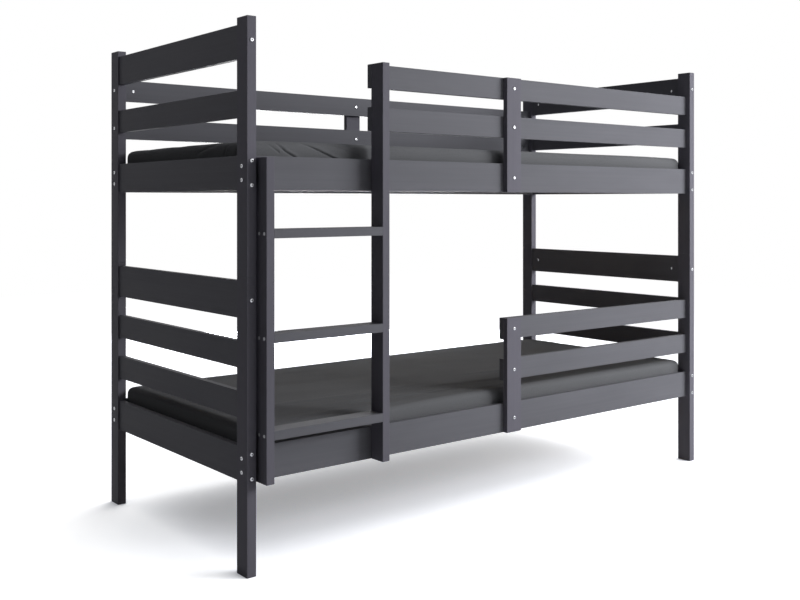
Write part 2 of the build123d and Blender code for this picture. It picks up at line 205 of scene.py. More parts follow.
def grain_scale(grain, along, across):
    """Pattern repeats per metre on X, Y and Z for a board whose grain runs along one of them."""
    return tuple(along if axis == grain else across for axis in "XYZ")


def board_pattern(tree, grain, ring):
    """Wood figure in real size: narrow rings across the board, drawn out along the grain.

    Gives the place on the board, the board's own shift of the pattern, the rings and the pores.
    """
    place = add_node(tree, "ShaderNodeTexCoord").outputs["Object"]
    board = add_node(tree, "ShaderNodeObjectInfo").outputs["Random"]
    shift = add_node(tree, "ShaderNodeMath", {"operation": "MULTIPLY"}, {0: board, 1: 37.0}).outputs[0]
    rings_scale = grain_scale(grain, 0.012 / ring, 1 / ring)
    rings_place = add_node(tree, "ShaderNodeMapping", inputs={"Vector": place, "Scale": rings_scale})
    rings = add_node(tree, "ShaderNodeTexNoise", {"noise_dimensions": "4D"},
                     {"Vector": rings_place.outputs[0], "W": shift, "Scale": 0.45, "Detail": 3.0,
                      "Roughness": 0.6, "Distortion": 0.25})
    pores_place = add_node(tree, "ShaderNodeMapping",
                           inputs={"Vector": place, "Scale": grain_scale(grain, 60.0, 1400.0)})
    pores = add_node(tree, "ShaderNodeTexNoise", {"noise_dimensions": "4D"},
                     {"Vector": pores_place.outputs[0], "W": shift, "Scale": 1.0, "Detail": 1.0})
    return place, shift, rings.outputs["Fac"], pores.outputs["Fac"]


# The plating's grain is finer than 0.1 mm and is drawn about 1 mm wide, so that it shows
CRYSTALS_PER_METRE = 900.0
# The bands of a wave texture are this far apart, in metres, at a scale of 1
WAVE_SPACING = 0.314
# The posts and stiles were sprayed in another batch than the boards, a touch more violet
BATCH_TINTS = {"X": (1.0, 1.01, 0.99), "Y": (1.0, 1.0, 1.0), "Z": (1.01, 0.985, 1.03)}


def satin_painted_pine(grain, settings):
    """Sprayed satin acrylic on planed pine: even graphite grey with a soft sheen.

    The eye gets a broad, weak highlight, faint rings that stand up through the paint along the
    grain, and a slightly uneven gloss where the wood drank more paint.
    """
    material, tree = start_material(f"satin_painted_pine_along_{grain.lower()}")
    place, shift, rings, pores = board_pattern(tree, grain, settings.growth_ring)
    cloud_place = add_node(tree, "ShaderNodeMapping",
                           inputs={"Vector": place, "Scale": grain_scale(grain, 3.0, 14.0)})
    cloud = add_node(tree, "ShaderNodeTexNoise", {"noise_dimensions": "4D"},
                     {"Vector": cloud_place.outputs[0], "W": shift, "Scale": 1.0, "Detail": 2.0})
    paint = add_node(tree, "ShaderNodeValToRGB", inputs={"Fac": cloud.outputs["Fac"]})
    coat = [channel * share for channel, share in zip(settings.paint, BATCH_TINTS[grain])]
    paint.color_ramp.elements[0].position = 0.3
    paint.color_ramp.elements[0].color = rgba(coat, 0.94)
    paint.color_ramp.elements[1].position = 0.7
    paint.color_ramp.elements[1].color = rgba(coat, 1.05)
    ring_tint = add_node(tree, "ShaderNodeMapRange",
                         inputs={"Value": rings, "From Min": 0.35, "From Max": 0.65, "To Min": 0.965,
                                 "To Max": 1.02})
    colour = add_node(tree, "ShaderNodeVectorMath", {"operation": "SCALE"},
                      {0: paint.outputs["Color"], "Scale": ring_tint.outputs["Result"]})
    gloss = add_node(tree, "ShaderNodeMapRange",
                     inputs={"Value": cloud.outputs["Fac"], "From Min": 0.3, "From Max": 0.7,
                             "To Min": settings.paint_roughness - 0.05,
                             "To Max": settings.paint_roughness + 0.05})
    relief = add_node(tree, "ShaderNodeMath", {"operation": "MULTIPLY_ADD"},
                      {0: pores, 1: 0.2, 2: rings})
    bump = add_node(tree, "ShaderNodeBump",
                    inputs={"Strength": 0.6, "Distance": settings.ring_relief,
                            "Height": relief.outputs[0]})
    shader = add_node(tree, "ShaderNodeBsdfPrincipled",
                      inputs={"Base Color": colour.outputs[0], "Roughness": gloss.outputs["Result"],
                              "IOR": 1.5, "Specular IOR Level": 0.03, "Normal": bump.outputs["Normal"]})
    finish_material(tree, shader.outputs[0])
    return material


def bare_wood(name, grain, settings):
    """Planed or turned wood with no finish, for the slats and the dowels.

    The eye gets warm, pale early wood with darker late wood lines along the grain, dull all over.
    """
    material, tree = start_material(name)
    rings, pores = board_pattern(tree, grain, settings.growth_ring)[2:]
    figure = add_node(tree, "ShaderNodeValToRGB", inputs={"Fac": rings})
    figure.color_ramp.elements[0].position = 0.38
    figure.color_ramp.elements[0].color = rgba(settings.bare_light)
    figure.color_ramp.elements[1].position = 0.64
    figure.color_ramp.elements[1].color = rgba(settings.bare_dark)
    dust = add_node(tree, "ShaderNodeMapRange",
                    inputs={"Value": pores, "From Min": 0.3, "From Max": 0.7, "To Min": 0.93,
                            "To Max": 1.03})
    colour = add_node(tree, "ShaderNodeVectorMath", {"operation": "SCALE"},
                      {0: figure.outputs["Color"], "Scale": dust.outputs["Result"]})
    bump = add_node(tree, "ShaderNodeBump",
                    inputs={"Strength": 0.5, "Distance": settings.ring_relief, "Height": rings})
    shader = add_node(tree, "ShaderNodeBsdfPrincipled",
                      inputs={"Base Color": colour.outputs[0], "Roughness": 0.62, "IOR": 1.5,
                              "Normal": bump.outputs["Normal"]})
    finish_material(tree, shader.outputs[0])
    return material


def turned_metal(name, colour, roughness, tint, recess=6 * MM):
    """Machined steel: bright, with a gloss that wavers where the surface was turned and plated.

    Sockets and corners narrower than the recess are painted darker, as painted shade in the hollows.
    """
    material, tree = start_material(name)
    place = add_node(tree, "ShaderNodeTexCoord").outputs["Object"]
    crystals = add_node(tree, "ShaderNodeTexNoise",
                        inputs={"Vector": place, "Scale": CRYSTALS_PER_METRE, "Detail": 3.0})
    shade = add_node(tree, "ShaderNodeValToRGB", inputs={"Fac": crystals.outputs["Fac"]})
    shade.color_ramp.elements[0].color = rgba(colour, tint)
    shade.color_ramp.elements[1].color = rgba(colour)
    gloss = add_node(tree, "ShaderNodeMapRange",
                     inputs={"Value": crystals.outputs["Fac"], "To Min": roughness - 0.08,
                             "To Max": roughness + 0.08})
    # Painted shade: the colour darkens where ambient occlusion within the recess finds sockets and
    # corners
    recess_occlusion = add_node(tree, "ShaderNodeAmbientOcclusion", inputs={"Distance": recess})
    painted_recess_shade = add_node(tree, "ShaderNodeMapRange",
                     inputs={"Value": recess_occlusion.outputs["AO"], "From Min": 0.25, "From Max": 0.85,
                             "To Min": 0.12, "To Max": 1.0})
    recess_shaded_colour = add_node(tree, "ShaderNodeVectorMath", {"operation": "SCALE"},
                      {0: shade.outputs["Color"], "Scale": painted_recess_shade.outputs["Result"]})
    bump = add_node(tree, "ShaderNodeBump",
                    inputs={"Strength": 0.2, "Distance": 0.02 * MM, "Height": crystals.outputs["Fac"]})
    shader = add_node(tree, "ShaderNodeBsdfPrincipled",
                      inputs={"Base Color": recess_shaded_colour.outputs[0], "Metallic": 1.0,
                              "Roughness": gloss.outputs["Result"], "Normal": bump.outputs["Normal"]})
    finish_material(tree, shader.outputs[0])
    return material


def woven_cloth(name, colour, thread, relief, sheen, contrast, roughness=0.9):
    """Cloth from threads that cross at a real spacing, with fibres that catch light at the edges."""
    material, tree = start_material(name)
    place = add_node(tree, "ShaderNodeTexCoord").outputs["Object"]
    turned = add_node(tree, "ShaderNodeMapping", inputs={"Vector": place, "Rotation": (0.6, 0.0, 0.0)})
    ribs, rows = (
        add_node(tree, "ShaderNodeTexWave", {"bands_direction": direction, "wave_profile": "SIN"},
                 {"Vector": turned.outputs[0], "Scale": WAVE_SPACING / thread, "Distortion": 1.2,
                  "Detail": 2.0})
        for direction in "XY")
    knit = add_node(tree, "ShaderNodeMath", {"operation": "MULTIPLY"},
                    {0: ribs.outputs["Fac"], 1: rows.outputs["Fac"]})
    fuzz = add_node(tree, "ShaderNodeTexNoise", inputs={"Vector": place, "Scale": 160.0, "Detail": 4.0})
    wear = add_node(tree, "ShaderNodeTexNoise", inputs={"Vector": place, "Scale": 5.0, "Detail": 3.0})
    mixed = add_node(tree, "ShaderNodeMath", {"operation": "MULTIPLY_ADD"},
                     {0: knit.outputs[0], 1: 0.6, 2: fuzz.outputs["Fac"]})
    tone = add_node(tree, "ShaderNodeMath", {"operation": "MULTIPLY_ADD"},
                    {0: wear.outputs["Fac"], 1: 0.8, 2: mixed.outputs[0]})
    shade = add_node(tree, "ShaderNodeValToRGB", inputs={"Fac": tone.outputs[0]})
    shade.color_ramp.elements[0].position = 0.5
    shade.color_ramp.elements[0].color = rgba(colour, 1 - contrast)
    shade.color_ramp.elements[1].position = 1.0
    shade.color_ramp.elements[1].color = rgba(colour, 1 + contrast)
    bump = add_node(tree, "ShaderNodeBump",
                    inputs={"Strength": 0.5, "Distance": relief, "Height": mixed.outputs[0]})
    shader = add_node(tree, "ShaderNodeBsdfPrincipled",
                      inputs={"Base Color": shade.outputs["Color"], "Roughness": roughness, "IOR": 1.5,
                              "Specular IOR Level": 0.04, "Sheen Weight": sheen, "Sheen Roughness": 0.45,
                              "Sheen Tint": rgba((0.8, 0.8, 0.8)), "Normal": bump.outputs["Normal"]})
    finish_material(tree, shader.outputs[0])
    return material


def give(node, material):
    """One material on the whole of a piece."""
    node.data.materials.clear()
    node.data.materials.append(material)


def grain_of(node):
    """The axis that a board's grain runs along: its longest side."""
    low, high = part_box(node)
    sides = [high[axis] - low[axis] for axis in range(3)]
    return "XYZ"[sides.index(max(sides))]


def nodes_in(slot):
    """The CAD nodes that the record gives one material slot."""
    return [row["node"] for row in frame["record"]["subparts"] if row["material_slot"] == slot]


class BUNK_OT_finish_timber(bpy.types.Operator):
    """Paint the frame's boards and leave the slats and dowels bare"""
    bl_idname = "bunk.finish_timber"
    bl_label = "Finish the timber"

    def execute(self, context):
        settings = context.scene.bunk_timber
        painted = {grain: satin_painted_pine(grain, settings) for grain in "XYZ"}
        for node in nodes_in("painted_pine"):
            give(frame["nodes"][node], painted[grain_of(node)])
        slat_pine = bare_wood("bare_planed_pine", "Y", settings)
        for node in nodes_in("bare_pine"):
            give(frame["nodes"][node], slat_pine)
        dowel_beech = bare_wood("turned_beech", "Y", settings)
        for node in nodes_in("beech_dowel"):
            give(frame["nodes"][node], dowel_beech)
        return {"FINISHED"}


class BUNK_OT_finish_hardware(bpy.types.Operator):
    """Plate the bolts, nuts and screws, and leave the post pins as turned steel"""
    bl_idname = "bunk.finish_hardware"
    bl_label = "Finish the hardware"

    def execute(self, context):
        settings = context.scene.bunk_hardware
        zinc = turned_metal("bright_zinc_plate", settings.zinc, roughness=0.3, tint=0.8)
        for node in nodes_in("zinc_steel"):
            give(frame["nodes"][node], zinc)
        # The rungs' flat screw heads have a duller plating, which takes in more of the room
        screws = turned_metal("dull_zinc_screw_heads", settings.zinc, roughness=0.6, tint=0.85,
                              recess=1 * MM)
        give(frame["nodes"]["rung_screws"], screws)
        steel = turned_metal("turned_steel_bar", settings.steel, roughness=0.35, tint=0.85)
        for node in nodes_in("pin_steel"):
            give(frame["nodes"][node], steel)
        return {"FINISHED"}


def new_piece(name, mesh, material):
    """An object in the scene with one material and smooth faces."""
    piece = bpy.data.objects.new(name, mesh)
    bpy.context.scene.collection.objects.link(piece)
    give(piece, material)
    mesh.polygons.foreach_set("use_smooth", [True] * len(mesh.polygons))
    return piece


def applied(piece):
    """Makes a piece's modifiers part of its mesh."""
    bpy.context.view_layer.update()
    graph = bpy.context.evaluated_depsgraph_get()
    mesh = bpy.data.meshes.new_from_object(piece.evaluated_get(graph))
    old = piece.data
    piece.modifiers.clear()
    piece.data = mesh
    bpy.data.meshes.remove(old)
    mesh.name = piece.name


def points_of(mesh):
    points = np.empty(len(mesh.vertices) * 3, np.float32)
    mesh.vertices.foreach_get("co", points)
    return points.reshape(-1, 3).astype(float)


def normals_of(mesh):
    normals = np.empty(len(mesh.vertices) * 3, np.float32)
    mesh.vertex_normals.foreach_get("vector", normals)
    return normals.reshape(-1, 3).astype(float)


def move_points(mesh, points):
    mesh.vertices.foreach_set("co", points.astype(np.float32).ravel())
    mesh.update()


def grid_lines(length, radius, cell):
    """Places of grid lines along one side: three in each rounded edge, and even ones between."""
    edge = [radius * share for share in (0.0, 0.3, 0.62, 1.0)]
    count = max(1, round((length - 2 * radius) / cell))
    even = [radius + (length - 2 * radius) * step / count for step in range(1, count)]
    return edge + even + [length - place for place in reversed(edge)]


def cushion_block(name, low, high, radius, cell, crown, material):
    """A closed block in even four-sided faces, with round edges, a crowned top and drawn-in sides."""
    lines = [grid_lines(high[axis] - low[axis], radius, cell) for axis in range(3)]
    numbers, faces = {}, []
    for axis, across, up in ((0, 1, 2), (1, 2, 0), (2, 0, 1)):
        for end in (0, len(lines[axis]) - 1):
            for first in range(len(lines[across]) - 1):
                for second in range(len(lines[up]) - 1):
                    quad = []
                    for step_first, step_second in ((0, 0), (1, 0), (1, 1), (0, 1)):
                        place = [0, 0, 0]
                        place[axis] = end
                        place[across] = first + step_first
                        place[up] = second + step_second
                        quad.append(numbers.setdefault(tuple(place), len(numbers)))
                    faces.append(quad if end else quad[::-1])
    low, high = np.array(low), np.array(high)
    points = low + np.array([[lines[axis][place[axis]] for axis in range(3)] for place in numbers])
    inner = np.clip(points, low + radius, high - radius)
    away = points - inner
    points = inner + radius * away / np.linalg.norm(away, axis=1, keepdims=True)
    shares = (points - (low + high) / 2) / ((high - low) / 2)
    bulge = 1 - np.clip(np.abs(shares), 0, 1) ** 2
    points[:, 2] += crown * bulge[:, 0] * bulge[:, 1] * np.clip(shares[:, 2], 0, 1)
    points[:, 0] -= crown * shares[:, 0] * bulge[:, 1] * np.abs(shares[:, 0]) ** 8
    points[:, 1] -= crown * shares[:, 1] * bulge[:, 0] * np.abs(shares[:, 1]) ** 8
    mesh = bpy.data.meshes.new(name)
    mesh.from_pydata([tuple(point) for point in points], [], faces)
    mesh.update()
    return new_piece(name, mesh, material)


def inflate(piece, pressure, frames, least, most, slack=0.0, slack_weights=None):
    """Blows a closed cloth up for a few frames, then holds each point's move between two limits."""
    before = points_of(piece.data)
    cloth = piece.modifiers.new("Cloth", "CLOTH")
    cloth.settings.quality = 4
    cloth.settings.mass = 0.3
    cloth.settings.tension_stiffness = 15
    cloth.settings.compression_stiffness = 15
    cloth.settings.shear_stiffness = 5
    cloth.settings.bending_stiffness = 0.2
    cloth.settings.use_pressure = True
    cloth.settings.uniform_pressure_force = pressure
    cloth.settings.effector_weights.gravity = 0
    if slack_weights is not None:
        group = piece.vertex_groups.new(name="slack")
        for index, weight in enumerate(slack_weights):
            group.add([index], float(weight), "REPLACE")
        cloth.settings.vertex_group_shrink = "slack"
        cloth.settings.shrink_min = 0.0
        cloth.settings.shrink_max = -slack
    cloth.collision_settings.use_collision = False
    cloth.collision_settings.use_self_collision = False
    cloth.point_cache.frame_start = 1
    cloth.point_cache.frame_end = frames
    scene = bpy.context.scene
    for number in range(1, frames + 1):
        scene.frame_set(number)
    applied(piece)
    scene.frame_set(1)
    moved = np.clip(points_of(piece.data) - before, -np.array(least), np.array(most))
    outward = np.sign(before - before.mean(axis=0))
    moved[:, :2] = outward[:, :2] * np.clip(moved[:, :2] * outward[:, :2], -least[0], most[0])
    move_points(piece.data, before + moved)


def smoother(piece):
    """One subdivision, applied."""
    subdivision = piece.modifiers.new("Smooth", "SUBSURF")
    subdivision.levels = 1
    subdivision.render_levels = 1
    applied(piece)


def lie_flat(mesh, floor):
    """Presses the underside of a soft piece flat on what it lies on."""
    points = points_of(mesh)
    points[:, 2] = np.maximum(points[:, 2], floor)
    move_points(mesh, points)


def along_path(points, path, facing):
    """Each point's distance from a path, its side of it, and its share of the way along it."""
    best = np.full(len(points), 1e9)
    side = np.zeros(len(points))
    share = np.zeros(len(points))
    path = np.array([tuple(point) for point in path])
    steps = np.linalg.norm(np.diff(path, axis=0), axis=1)
    done = 0.0
    for start, end, step in zip(path[:-1], path[1:], steps):
        way = (end - start) / step
        offset = points - start
        along = np.clip(offset @ way, 0.0, step)
        away = offset - along[:, None] * way
        distance = np.linalg.norm(away, axis=1)
        nearer = distance < best
        best[nearer] = distance[nearer]
        side[nearer] = (away @ np.cross(facing, way))[nearer]
        share[nearer] = ((done + along) / steps.sum())[nearer]
        done += step
    return best, side, share


def finer(mesh, path, reach):
    """Cuts the faces near a path in four, twice, so that a fold there comes out crisp."""
    for _ in range(2):
        best = along_path(points_of(mesh), path, (0, 0, 1))[0]
        shape = bmesh.new()
        shape.from_mesh(mesh)
        near = [edge for edge in shape.edges if max(best[vert.index] for vert in edge.verts) < reach]
        bmesh.ops.subdivide_edges(shape, edges=near, cuts=1, use_grid_fill=True)
        shape.to_mesh(mesh)
        shape.free()
        mesh.update()


def fold(mesh, path, facing, width, depth, lift, open_end=False):
    """A crease pressed into cloth along a path, with a soft, wider ridge on its left side.

    facing is the direction out of the cloth there, and points that face elsewhere stay. A fold
    with an open end deepens all the way to it, and others taper off at both ends.
    """
    points, normals = points_of(mesh), normals_of(mesh)
    best, side, share = along_path(points, path, facing)
    if open_end:
        taper = np.clip(share * 8, 0.0, 1.0) * (0.45 + 0.55 * share)
    else:
        taper = np.clip(np.minimum(share * 4, (1 - share) * 4), 0.0, 1.0) ** 0.7
    turned = np.clip(normals @ np.array(facing, float), 0.0, 1.0)
    crease = -depth * np.exp(-(side / width) ** 2)
    ridge = lift * np.exp(-((side - 2.2 * width) / (1.6 * width)) ** 2)
    near = np.exp(-(np.maximum(best - 4 * width, 0.0) / width) ** 2)
    move = (crease + ridge) * taper * turned * near
    move_points(mesh, points + normals * move[:, None])


def droop(mesh, low, high):
    """Lets the top of a soft block sink towards its four corners."""
    points = points_of(mesh)
    from_x = (high.x - low.x) / 2 - np.abs(points[:, 0] - (low.x + high.x) / 2)
    from_y = (high.y - low.y) / 2 - np.abs(points[:, 1] - (low.y + high.y) / 2)
    corner = np.exp(-(np.maximum(from_x, 0.0) + np.maximum(from_y, 0.0)) / DROOP_REACH)
    height = np.clip((points[:, 2] - low.z) / (high.z - low.z), 0.0, 1.0)
    points[:, 2] -= DROOP * corner * height
    move_points(mesh, points)


def undulate(mesh, height, spacing, seed):
    """Soft, wide unevenness of cloth over foam."""
    points, normals = points_of(mesh), normals_of(mesh)
    rng = np.random.default_rng(seed)
    waves = np.zeros(len(points))
    for _ in range(7):
        angle, phase = rng.uniform(-0.5, 0.5), rng.uniform(0, 2 * math.pi)
        pitch = spacing * rng.uniform(0.6, 1.6)
        way = np.array([math.sin(angle), math.cos(angle), 0.6])
        wave = np.sin(points @ way * 2 * math.pi / pitch + phase)
        waves += wave * np.cos(points[:, 0] / (2.7 * pitch) + phase)
    move = height * waves / 7
    move_points(mesh, points + normals * move[:, None])


# How much higher the middle of a mattress stands than its edges, how far its corners sink below
# that, and how far from a corner they do
CROWN = 3 * MM
DROOP = 6 * MM
DROOP_REACH = 50 * MM
# Folds of the upper sheet's front: metres from its left end and down from its top, then depth
UPPER_FOLDS = (
    (((0.044, 0.002), (0.060, 0.012), (0.084, 0.028)), 1.6 * MM),
    (((0.082, 0.001), (0.096, 0.016), (0.114, 0.031), (0.146, 0.047), (0.166, 0.060)), 4.5 * MM),
    (((0.156, 0.001), (0.192, 0.012), (0.234, 0.029), (0.279, 0.046), (0.324, 0.062)), 6.0 * MM),
    (((0.240, 0.002), (0.295, 0.014), (0.355, 0.032)), 1.2 * MM),
)
# Folds of the upper sheet's left end: metres from its front and down from its top, then depth
UPPER_END_FOLDS = (
    (((0.050, 0.004), (0.072, 0.020), (0.080, 0.050)), 3.0 * MM),
    (((0.115, 0.003), (0.140, 0.016), (0.150, 0.050)), 3.0 * MM),
    (((0.190, 0.006), (0.250, 0.014), (0.320, 0.032)), 2.0 * MM),
)
# Creases of the lower sheet's top: metres from its left end and from its front, then depth
LOWER_FOLDS = (
    (((0.020, 0.030), (0.25, 0.034), (0.50, 0.020), (0.70, 0.030)), 2.2 * MM),
    (((0.55, 0.060), (0.80, 0.045), (1.05, 0.038), (1.30, 0.052)), 1.5 * MM),
    (((0.30, 0.120), (0.62, 0.090), (0.95, 0.105)), 2.4 * MM),
    (((0.75, 0.160), (1.10, 0.120), (1.45, 0.110), (1.75, 0.130)), 2.3 * MM),
    (((0.15, 0.230), (0.50, 0.190), (0.80, 0.215)), 2.2 * MM),
    (((1.00, 0.260), (1.35, 0.215), (1.70, 0.235)), 2.2 * MM),
)


class BUNK_OT_build_mattresses(bpy.types.Operator):
    """Make the two foam mattresses inside the sheets"""
    bl_idname = "bunk.build_mattresses"
    bl_label = "Build the mattresses"

    def execute(self, context):
        settings = context.scene.bunk_bedding
        # Closely woven polyester ticking: pale, matt, with a fine raised weave
        ticking = woven_cloth("woven_ticking", settings.ticking, thread=3 * MM, relief=0.25 * MM,
                              sheen=0.1, contrast=0.06)
        low, high = box_of("lower_mattress")
        # The foam is a little smaller than its solid, so that it stays inside its sheet
        draw_in = Vector((5 * MM, 5 * MM, 0))
        top_in = Vector((5 * MM, 5 * MM, 9 * MM))
        lower = cushion_block("lower_foam_mattress", low + draw_in, high - top_in,
                              settings.edge_radius, 16 * MM, CROWN, ticking)
        inflate(lower, pressure=4.0, frames=12, least=(1 * MM, 1 * MM, 0),
                most=(1.5 * MM, 1.5 * MM, 1 * MM))
        droop(lower.data, low, high)
        lie_flat(lower.data, low.z)
        smoother(lower)
        upper = new_piece("upper_foam_mattress", lower.data.copy(), ticking)
        rise = box_of("upper_mattress")[0].z - low.z
        move_points(upper.data, points_of(upper.data) + np.array((0, 0, rise)))
        for piece, bed in ((lower, "lower"), (upper, "upper")):
            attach(piece, f"{bed}_mattress")
            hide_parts(f"{bed}_mattress")
        return {"FINISHED"}


def loose_places(points, low, high):
    """How loose a fitted sheet is at each point: most at its corners and at the ladder's end."""
    middle = (low + high) / 2
    to_corner = np.hypot(np.abs(points[:, 0] - middle.x) - (high.x - low.x) / 2,
                         np.abs(points[:, 1] - middle.y) - (high.y - low.y) / 2)
    corner = np.exp(-(to_corner / 0.25) ** 2)
    ladder_end = 0.8 * np.exp(-(np.maximum(points[:, 0] - low.x - 0.3, 0.0) / 0.2) ** 2)
    return np.clip(0.15 + corner + ladder_end, 0.0, 1.0)


def cut_hem(mesh, low, high, hem):
    """Opens the underside of a sheet and leaves its hem, drawn in unevenly by the elastic."""
    shape = bmesh.new()
    shape.from_mesh(mesh)
    gone = []
    for face in shape.faces:
        centre = face.calc_center_median()
        wobble = 5 * MM * math.sin(centre.x * 31) + 4 * MM * math.sin(centre.y * 37 + 1)
        inset = min(centre.x - low.x, high.x - centre.x, centre.y - low.y, high.y - centre.y)
        if face.normal.z < -0.9 and centre.z < low.z + 4 * MM and inset > hem + wobble:
            gone.append(face)
    bmesh.ops.delete(shape, geom=gone, context="FACES")
    shape.to_mesh(mesh)
    shape.free()
    mesh.update()


class BUNK_OT_fit_sheets(bpy.types.Operator):
    """Pull a jersey sheet over each mattress, with its folds"""
    bl_idname = "bunk.fit_sheets"
    bl_label = "Fit the sheets"

    def execute(self, context):
        settings = context.scene.bunk_bedding
        # Fine cotton jersey: soft and dark, its 1 mm wales drawn 3 mm wide so that they show
        jersey = woven_cloth("cotton_jersey", settings.jersey, thread=3 * MM, relief=0.2 * MM,
                             sheen=0.02, contrast=0.1)
        for bed, seed in (("lower", 3), ("upper", 8)):
            low, high = box_of(f"{bed}_fitted_sheet")
            half = Vector((1, 1, 1)) * settings.cloth_thickness / 2
            top = high - half - Vector((0, 0, 3 * MM))
            sheet = cushion_block(f"{bed}_sheet", low + half, top, settings.edge_radius,
                                  14 * MM, CROWN, jersey)
            inflate(sheet, pressure=2.0, frames=12, least=(2.5 * MM, 2.5 * MM, 2 * MM),
                    most=(1.2 * MM, 1.2 * MM, 1.5 * MM), slack=settings.slack,
                    slack_weights=loose_places(points_of(sheet.data), low, high))
            droop(sheet.data, low, high)
            lie_flat(sheet.data, low.z)
            smoother(sheet)
            undulate(sheet.data, 1.4 * MM, 0.16, seed)
            if bed == "upper":
                self.fold_front_and_end(sheet.data, low, high)
            else:
                for path, depth in LOWER_FOLDS:
                    on_top = [(low.x + x, low.y + y, high.z) for x, y in path]
                    fold(sheet.data, on_top, (0, 0, 1), width=9 * MM, depth=depth,
                         lift=0.7 * depth)
            lie_flat(sheet.data, low.z)
            cut_hem(sheet.data, low, high, settings.hem)
            thick = sheet.modifiers.new("Thickness", "SOLIDIFY")
            thick.thickness = settings.cloth_thickness
            thick.offset = 0.0
            applied(sheet)
            lie_flat(sheet.data, low.z)
            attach(sheet, f"{bed}_mattress")
            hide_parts(f"{bed}_fitted_sheet")
        return {"FINISHED"}

    def fold_front_and_end(self, mesh, low, high):
        """The slanting folds where the sheet is pulled down beside the ladder."""
        for path, depth in UPPER_FOLDS:
            on_front = [(low.x + x, low.y, high.z - z) for x, z in path]
            finer(mesh, on_front, 20 * MM)
            fold(mesh, on_front, (0, -1, 0), width=3 * MM, depth=depth, lift=0.35 * depth,
                 open_end=True)
        for path, depth in UPPER_END_FOLDS:
            on_end = [(low.x, low.y + y, high.z - z) for y, z in path]
            finer(mesh, on_end, 22 * MM)
            fold(mesh, on_end, (-1, 0, 0), width=5 * MM, depth=1.6 * depth, lift=0.8 * depth)


def spans_along(node):
    """Where each slat in a node of separate slats starts and ends, along X."""
    mesh = frame["nodes"][node].data
    places = points_of(mesh)[:, 0]
    reaches = sorted((places[list(face.vertices)].min(), places[list(face.vertices)].max())
                     for face in mesh.polygons)
    spans = [list(reaches[0])]
    for start, end in reaches[1:]:
        if start > spans[-1][1] + 1 * MM:
            spans.append([start, end])
        spans[-1][1] = max(spans[-1][1], end)
    return spans


class BUNK_OT_lay_tapes(bpy.types.Operator):
    """Run the two woven tapes under each bed's slats, stapled to each slat"""
    bl_idname = "bunk.lay_tapes"
    bl_label = "Lay the slat tapes"

    def execute(self, context):
        settings = context.scene.bunk_bedding
        # Plain woven polyester webbing: flat, close and slightly shiny
        webbing = woven_cloth("woven_webbing", settings.webbing, thread=2 * MM, relief=0.3 * MM,
                              sheen=0.1, contrast=0.12, roughness=0.7)
        points = points_of(frame["nodes"]["bed_slat_tapes"].data)
        middle = (points.min(axis=0) + points.max(axis=0)) / 2
        behind, above = points[:, 1] > middle[1], points[:, 2] > middle[2]
        for bed, in_bed in (("lower", ~above), ("upper", above)):
            spans = spans_along(f"{bed}_bed_slats")
            for side, on_side in (("front", ~behind), ("back", behind)):
                own = points[in_bed & on_side]
                tape = self.tape(f"{bed}_tape_{side}", own.min(axis=0), own.max(axis=0), spans,
                                 webbing)
                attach(tape, "frame")
                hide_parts("bed_slat_tapes")
        return {"FINISHED"}

    def tape(self, name, low, high, spans, material):
        """A flat strap that sags a little from slat to slat."""
        steps = 6
        sag = 1.5 * MM
        line = []
        for number, (start, end) in enumerate(spans):
            line += [(start, 0.0), ((start + end) / 2, 0.0), (end, 0.0)]
            if number + 1 < len(spans):
                gap = spans[number + 1][0] - end
                for step in range(1, steps):
                    share = step / steps
                    line.append((end + share * gap, -sag * math.sin(math.pi * share)))
        shape = bmesh.new()
        inset = 0.3 * MM
        section = ((low[1], high[2] - inset), (low[1] + inset, high[2]), (high[1] - inset, high[2]),
                   (high[1], high[2] - inset), (high[1], low[2] + inset), (high[1] - inset, low[2]),
                   (low[1] + inset, low[2]), (low[1], low[2] + inset))
        rings = []
        for x, drop in line:
            rings.append([shape.verts.new((x, y, z + drop)) for y, z in section])
        for before, after in zip(rings, rings[1:]):
            for index in range(len(section)):
                other = (index + 1) % len(section)
                shape.faces.new((before[index], before[other], after[other], after[index]))
        shape.faces.new(rings[0])
        shape.faces.new(list(reversed(rings[-1])))
        bmesh.ops.recalc_face_normals(shape, faces=shape.faces)
        mesh = bpy.data.meshes.new(name)
        shape.to_mesh(mesh)
        shape.free()
        return new_piece(name, mesh, material)


def area_lamp(name, place, target, size, watts):
    lamp = bpy.data.lights.new(name, "AREA")
    lamp.shape = "RECTANGLE"
    lamp.size, lamp.size_y = size
    lamp.energy = watts
    holder = bpy.data.objects.new(name, lamp)
    bpy.context.scene.collection.objects.link(holder)
    holder.location = place
    holder.rotation_euler = (Vector(target) - Vector(place)).to_track_quat("-Z", "Y").to_euler()



